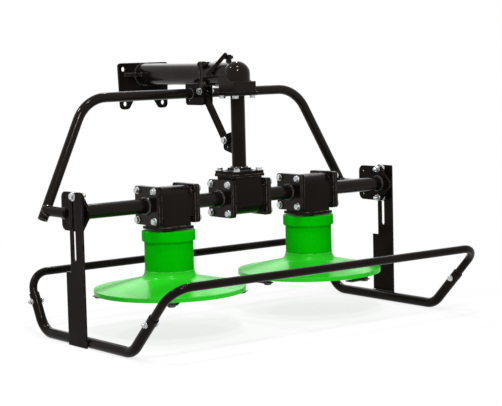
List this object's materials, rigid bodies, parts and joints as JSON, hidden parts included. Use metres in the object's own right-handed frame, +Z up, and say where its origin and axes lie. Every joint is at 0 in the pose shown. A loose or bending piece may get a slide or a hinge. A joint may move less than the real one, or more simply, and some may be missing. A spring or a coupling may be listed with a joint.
{
  "type": "disc mower",
  "caption": "Disc mower attachment for a walking tractor: green flared rotors with free-swinging knives under black gearboxes, a pipe hoop, slotted skid plates and guards.",
  "frame": {"origin": "on the floor under the skids, at the middle of the machine's length and width", "axes": "+X along the cross tubes to the right, +Y back to the mounting plate, +Z up"},
  "size_m": [1.3358, 1.072, 0.9124],
  "materials": {
    "black_paint": "gloss powder coat",
    "green_paint": "gloss paint",
    "zinc": "zinc plated",
    "bare_steel": "turned",
    "knife_steel": "dark hardened steel"
  },
  "bodies": {
    "frame": {"mounting_plate": "black_paint", "plate_gussets": "black_paint", "drive_tube": "black_paint", "drive_flange": "black_paint", "bearing_carrier": "bare_steel", "top_gearbox": "black_paint", "shift_lever": "black_paint", "column_tube": "black_paint", "column_base": "black_paint", "column_head": "black_paint", "column_lug": "black_paint", "brace_bar": "black_paint", "brace_bolts": "zinc", "hoop_bracket": "black_paint", "hoop": "black_paint", "hoop_stub_left": "black_paint", "hoop_stub_right": "black_paint", "centre_gearbox": "black_paint", "rotor_gearbox_left": "black_paint", "rotor_gearbox_right": "black_paint", "inner_tube_left": "black_paint", "inner_tube_right": "black_paint", "outer_tube_left": "black_paint", "outer_tube_right": "black_paint", "end_flange_left": "black_paint", "end_flange_right": "black_paint", "clamp_bolts_left": "zinc", "clamp_bolts_right": "zinc"},
    "skid_frame": {"skid_left": "black_paint", "skid_right": "black_paint", "skid_plate_left": "black_paint", "skid_plate_right": "black_paint", "front_guard": "black_paint", "rear_guard": "black_paint", "guard_bolts": "zinc"},
    "rotor_left": {"rotor_shaft_left": "bare_steel", "rotor_drum_left": "green_paint", "rotor_disc_left": "green_paint", "knife_pins_left": "knife_steel"},
    "rotor_right": {"rotor_shaft_right": "bare_steel", "rotor_drum_right": "green_paint", "rotor_disc_right": "green_paint", "knife_pins_right": "knife_steel"},
    "knife_left_1": {"knife_left_1": "knife_steel"},
    "knife_left_2": {"knife_left_2": "knife_steel"},
    "knife_left_3": {"knife_left_3": "knife_steel"},
    "knife_left_4": {"knife_left_4": "knife_steel"},
    "knife_right_1": {"knife_right_1": "knife_steel"},
    "knife_right_2": {"knife_right_2": "knife_steel"},
    "knife_right_3": {"knife_right_3": "knife_steel"},
    "knife_right_4": {"knife_right_4": "knife_steel"},
    "coupling": {"input_coupling": "bare_steel"}
  },
  "joints": [
    {"name": "skid_height", "type": "slide", "parent": "frame", "child": "skid_frame", "axis": [0, 0, 1], "range_m": [0, 0.09]},
    {"name": "rotor_left_spin", "type": "hinge", "parent": "frame", "child": "rotor_left", "pos_m": [-0.298, -0.031, 0.139], "axis": [0, 0, 1], "continuous": true},
    {"name": "rotor_right_spin", "type": "hinge", "parent": "frame", "child": "rotor_right", "pos_m": [0.298, -0.031, 0.139], "axis": [0, 0, 1], "continuous": true},
    {"name": "knife_left_1_swing", "type": "hinge", "parent": "rotor_left", "child": "knife_left_1", "pos_m": [-0.10318, -0.16241, 0.1335], "axis": [0, 0, 1], "continuous": true},
    {"name": "knife_left_2_swing", "type": "hinge", "parent": "rotor_left", "child": "knife_left_2", "pos_m": [-0.16659, 0.16382, 0.1335], "axis": [0, 0, 1], "continuous": true},
    {"name": "knife_left_3_swing", "type": "hinge", "parent": "rotor_left", "child": "knife_left_3", "pos_m": [-0.49282, 0.10041, 0.1335], "axis": [0, 0, 1], "continuous": true},
    {"name": "knife_left_4_swing", "type": "hinge", "parent": "rotor_left", "child": "knife_left_4", "pos_m": [-0.42941, -0.22582, 0.1335], "axis": [0, 0, 1], "continuous": true},
    {"name": "knife_right_1_swing", "type": "hinge", "parent": "rotor_right", "child": "knife_right_1", "pos_m": [0.35086, -0.25998, 0.1335], "axis": [0, 0, 1], "continuous": true},
    {"name": "knife_right_2_swing", "type": "hinge", "parent": "rotor_right", "child": "knife_right_2", "pos_m": [0.52698, 0.02186, 0.1335], "axis": [0, 0, 1], "continuous": true},
    {"name": "knife_right_3_swing", "type": "hinge", "parent": "rotor_right", "child": "knife_right_3", "pos_m": [0.24514, 0.19798, 0.1335], "axis": [0, 0, 1], "continuous": true},
    {"name": "knife_right_4_swing", "type": "hinge", "parent": "rotor_right", "child": "knife_right_4", "pos_m": [0.06902, -0.08386, 0.1335], "axis": [0, 0, 1], "continuous": true},
    {"name": "coupling_spin", "type": "hinge", "parent": "frame", "child": "coupling", "pos_m": [0, 0.536, 0.84], "axis": [0, 1, 0], "continuous": true}
  ],
  "couplings": [
    {"joint": "rotor_right_spin", "follows": "rotor_left_spin", "ratio": -1},
    {"joint": "coupling_spin", "follows": "rotor_left_spin", "ratio": 1}
  ]
}
